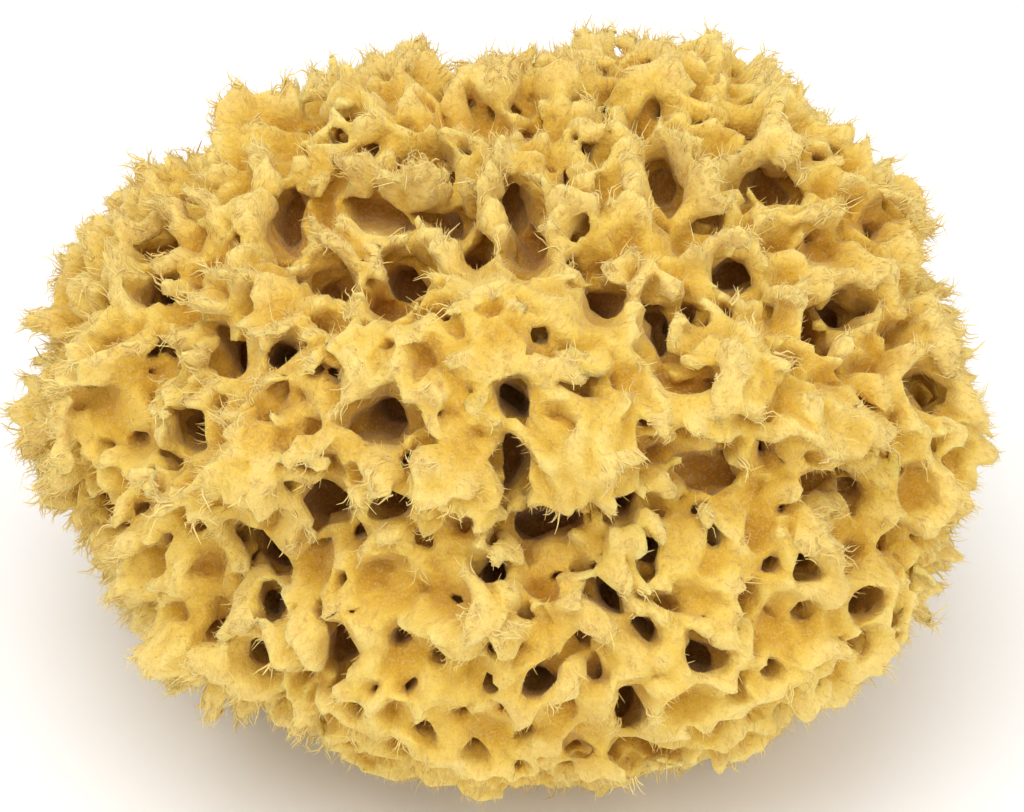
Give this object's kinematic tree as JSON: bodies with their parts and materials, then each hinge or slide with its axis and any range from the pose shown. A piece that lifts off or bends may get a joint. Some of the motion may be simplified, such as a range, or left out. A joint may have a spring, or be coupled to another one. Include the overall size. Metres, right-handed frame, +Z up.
{
  "type": "sea sponge",
  "caption": "Honeycomb bath sponge: a rounded golden-yellow mass with open round canals, hollows and frayed tufts, cut off flat underneath so that it rests steadily.",
  "frame": {"origin": "on the flat cut that the sponge rests on, under the middle of its footprint", "axes": "+Z up from the cut, +X along the longest side, front faces -Y"},
  "size_m": [0.1618, 0.147, 0.1015],
  "materials": {
    "sponge_skeleton": "matte, felt-like dried sponge fibre, golden yellow, paler at the tips and brown deep in the canals"
  },
  "bodies": {
    "root": {"sponge": "sponge_skeleton"}
  },
  "joints": []
}
